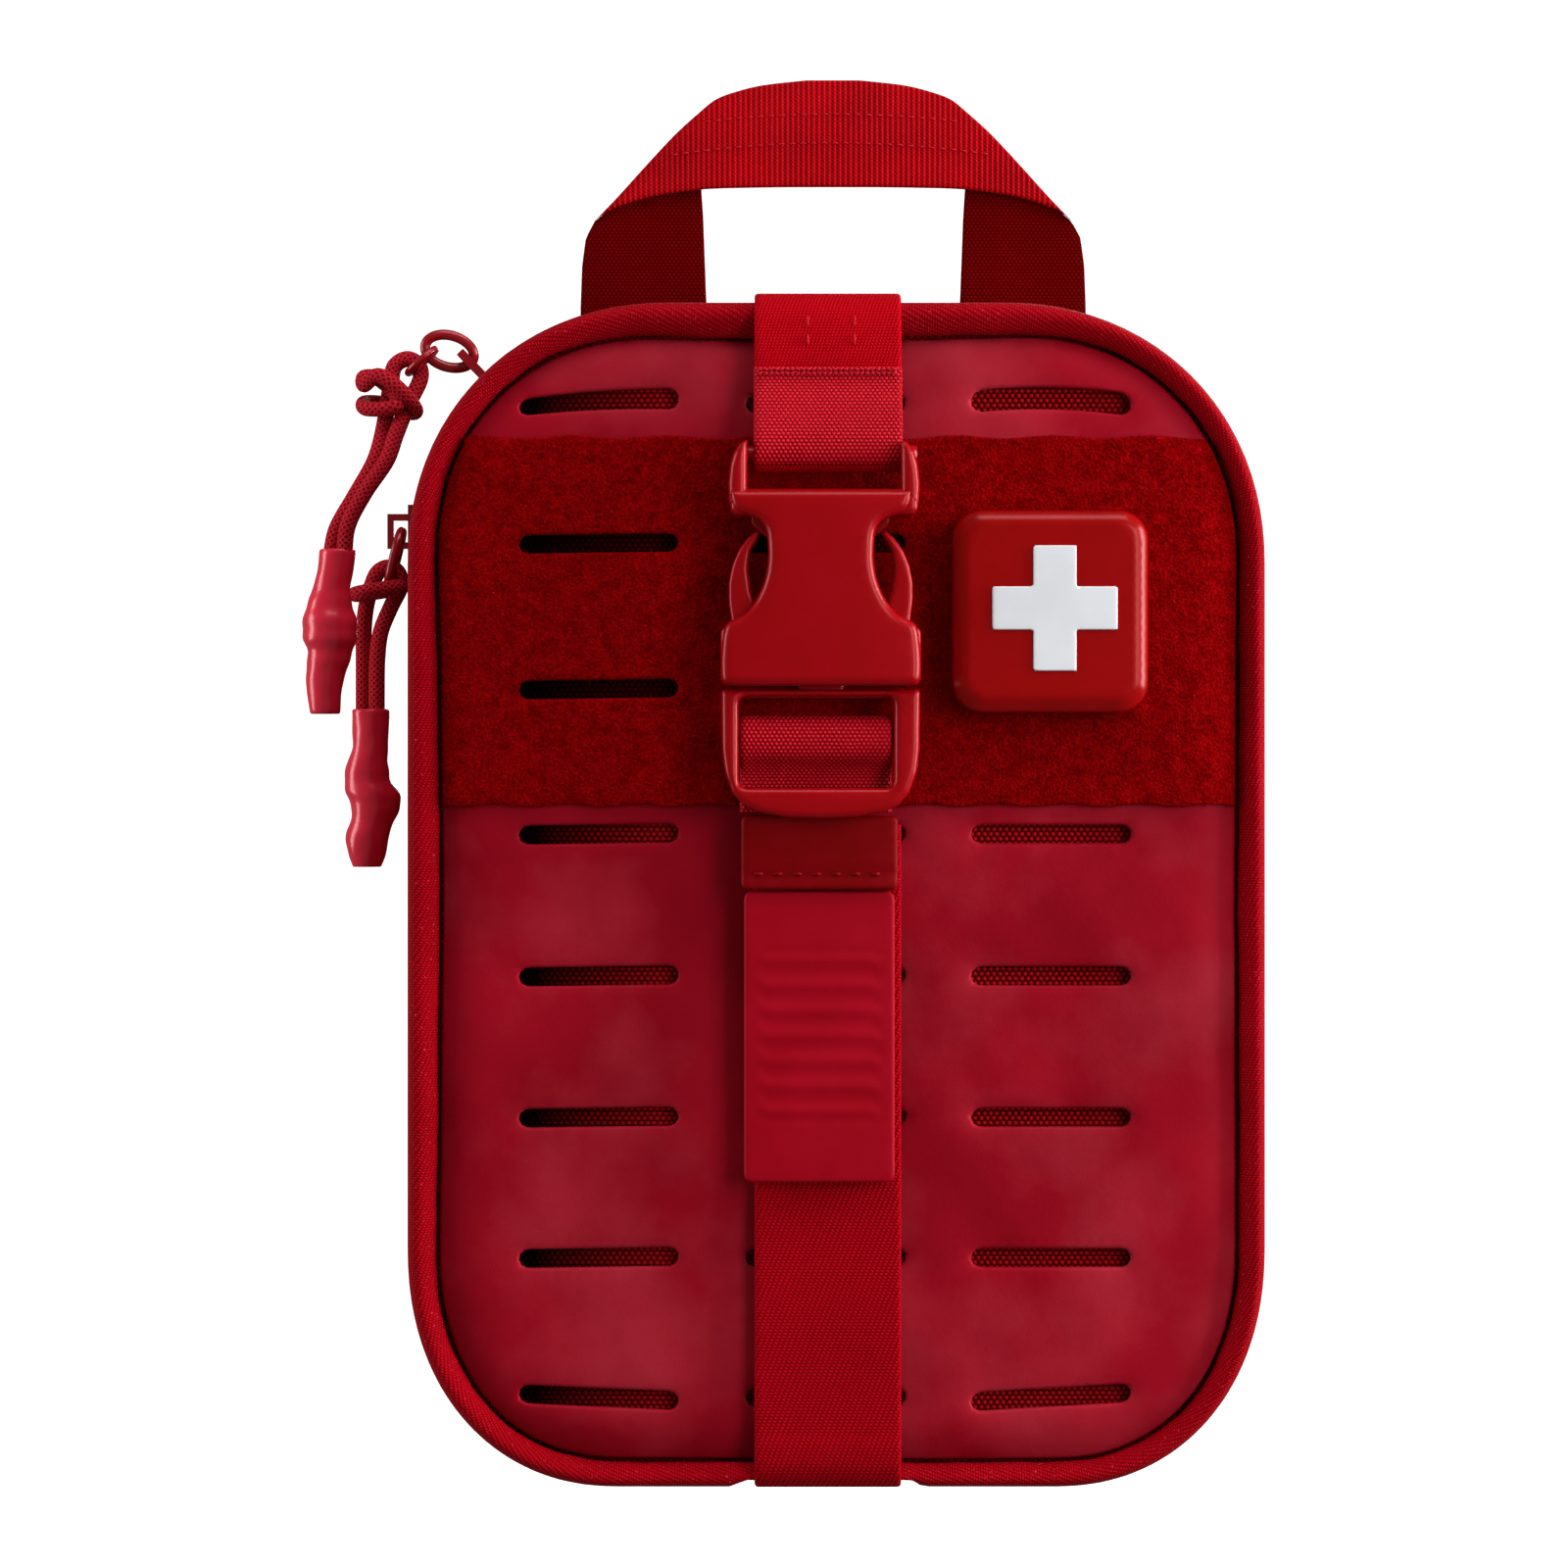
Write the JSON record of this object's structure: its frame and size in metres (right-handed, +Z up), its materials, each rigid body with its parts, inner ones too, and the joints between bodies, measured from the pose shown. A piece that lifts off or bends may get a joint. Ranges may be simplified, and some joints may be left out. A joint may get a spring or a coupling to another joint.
{
  "type": "first aid kit",
  "caption": "Soft zipped first aid kit pouch with a slotted front panel, hook-and-loop band, strap with side-release buckle, cross badge, carry handle and cord zipper pulls, packed inside.",
  "frame": {"origin": "middle of the flat base of the case, under the bottom seam", "axes": "+Z up from the base to the carry handle, -Y out of the slotted front panel, +X to the right seen from the front"},
  "size_m": [0.1724, 0.0974, 0.2558],
  "materials": {
    "shell_fabric": "matt woven nylon",
    "rim_fabric": "matt twill binding",
    "laminate": "satin laminate sheet",
    "loop_pile": "fuzzy loop pile",
    "webbing": "woven nylon webbing",
    "buckle_plastic": "satin moulded acetal",
    "tab_rubber": "satin moulded rubber",
    "badge_red": "satin moulded rubber",
    "badge_white": "satin moulded rubber",
    "hook_sheet": "hook tape",
    "zip_coil": "matt nylon coil",
    "zip_metal": "satin painted",
    "cord_braid": "braided nylon",
    "tip_moulding": "satin moulded plastic",
    "lining": "matt lining",
    "elastic": "matt woven elastic",
    "mesh_net": "open mesh net",
    "gauze": "matt woven gauze",
    "wrapper": "satin film pouch",
    "paper": "matt paper",
    "steel": "brushed"
  },
  "bodies": {
    "case_back": {"back_shell": "shell_fabric", "back_rim": "rim_fabric", "back_zipper_tape": "shell_fabric", "back_zipper_coil": "zip_coil", "hinge_gusset": "shell_fabric", "handle_foot_left": "webbing", "handle_foot_right": "webbing", "organiser_sheet": "lining", "elastic_band_lower": "elastic", "elastic_band_upper": "elastic", "shears_loop": "elastic", "pressure_bandage": "wrapper", "gauze_roll": "gauze", "gauze_packet": "paper", "dressing_packet": "wrapper", "glove_packet": "wrapper", "shears_blade_fixed": "steel", "shears_rivet": "steel", "rear_webbing_1": "webbing", "rear_webbing_2": "webbing", "rear_webbing_3": "webbing", "rear_strap_left": "webbing", "rear_strap_right": "webbing", "snap_cap_left": "zip_metal", "snap_cap_right": "zip_metal"},
    "lid": {"front_shell": "shell_fabric", "front_rim": "rim_fabric", "front_zipper_tape": "shell_fabric", "front_zipper_coil": "zip_coil", "slotted_panel": "laminate", "loop_band": "loop_pile", "upper_strap": "webbing", "lower_strap": "webbing", "buckle_socket": "buckle_plastic", "lid_mesh_pocket": "mesh_net", "lid_pocket_binding": "elastic", "wound_strip_packet": "paper", "guide_card": "paper"},
    "buckle_plug": {"plug_frame": "buckle_plastic", "strap_tail": "webbing", "tab_sleeve": "webbing", "pull_tab": "tab_rubber"},
    "latch_left": {"latch_arm_left": "buckle_plastic"},
    "latch_right": {"latch_arm_right": "buckle_plastic"},
    "badge": {"badge_hook": "hook_sheet", "badge_block": "badge_red", "badge_cross": "badge_white"},
    "handle": {"handle_loop": "webbing"},
    "slider_upper": {"upper_slider": "zip_metal"},
    "puller_upper": {"upper_puller_ring": "zip_metal", "upper_puller_link": "zip_metal"},
    "pull_cord_upper": {"upper_cord": "cord_braid", "upper_cord_knot": "cord_braid", "upper_cord_tip": "tip_moulding"},
    "slider_lower": {"lower_slider": "zip_metal"},
    "puller_lower": {"lower_puller_ring": "zip_metal"},
    "pull_cord_lower": {"lower_cord": "cord_braid", "lower_cord_knot": "cord_braid", "lower_cord_tip": "tip_moulding"},
    "shears_half": {"shears_blade_moving": "steel"}
  },
  "joints": [
    {"name": "lid_hinge", "type": "hinge", "parent": "case_back", "child": "lid", "pos_m": [0, 0, 0], "axis": [1, 0, 0], "range_deg": [0, 100], "deforming": ["hinge_gusset"]},
    {"name": "handle_fold", "type": "hinge", "parent": "case_back", "child": "handle", "pos_m": [0, 0.0136, 0.2108], "axis": [1, 0, 0], "range_deg": [-80, 80]},
    {"name": "buckle_release", "type": "slide", "parent": "lid", "child": "buckle_plug", "axis": [0, 0, -1], "range_m": [0, 0.028]},
    {"name": "latch_left_press", "type": "hinge", "parent": "buckle_plug", "child": "latch_left", "pos_m": [-0.0143, -0.0489, 0.1426], "axis": [0, 1, 0], "range_deg": [0, 9]},
    {"name": "latch_right_press", "type": "hinge", "parent": "buckle_plug", "child": "latch_right", "pos_m": [0.0087, -0.0489, 0.1426], "axis": [0, 1, 0], "range_deg": [-9, 0]},
    {"name": "badge_lift", "type": "slide", "parent": "lid", "child": "badge", "axis": [0, -1, 0], "range_m": [0, 0.02]},
    {"name": "upper_slider_travel", "type": "hinge", "parent": "case_back", "child": "slider_upper", "pos_m": [-0.0297, 0, 0.163], "axis": [0, 1, 0], "range_deg": [0, 17]},
    {"name": "upper_puller_swing", "type": "hinge", "parent": "slider_upper", "child": "puller_upper", "pos_m": [-0.0683, 0, 0.203], "axis": [0, 1, 0], "range_deg": [-2, 20]},
    {"name": "upper_cord_swing", "type": "hinge", "parent": "puller_upper", "child": "pull_cord_upper", "pos_m": [-0.0785, 0, 0.1998], "axis": [0, 1, 0], "range_deg": [-2, 40]},
    {"name": "lower_slider_travel", "type": "slide", "parent": "case_back", "child": "slider_lower", "axis": [0, 0, -1], "range_m": [0, 0.1]},
    {"name": "lower_puller_swing", "type": "hinge", "parent": "slider_lower", "child": "puller_lower", "pos_m": [-0.0796, 0, 0.1705], "axis": [0, 1, 0], "range_deg": [0, 35]},
    {"name": "lower_cord_swing", "type": "hinge", "parent": "puller_lower", "child": "pull_cord_lower", "pos_m": [-0.082, 0, 0.161], "axis": [0, 1, 0], "range_deg": [-1, 50]},
    {"name": "shears_pivot", "type": "hinge", "parent": "case_back", "child": "shears_half", "pos_m": [-0.006, 0.0284, 0.098], "axis": [0, 1, 0], "range_deg": [0, 11]}
  ],
  "couplings": [
    {"joint": "latch_right_press", "follows": "latch_left_press", "ratio": -1}
  ]
}
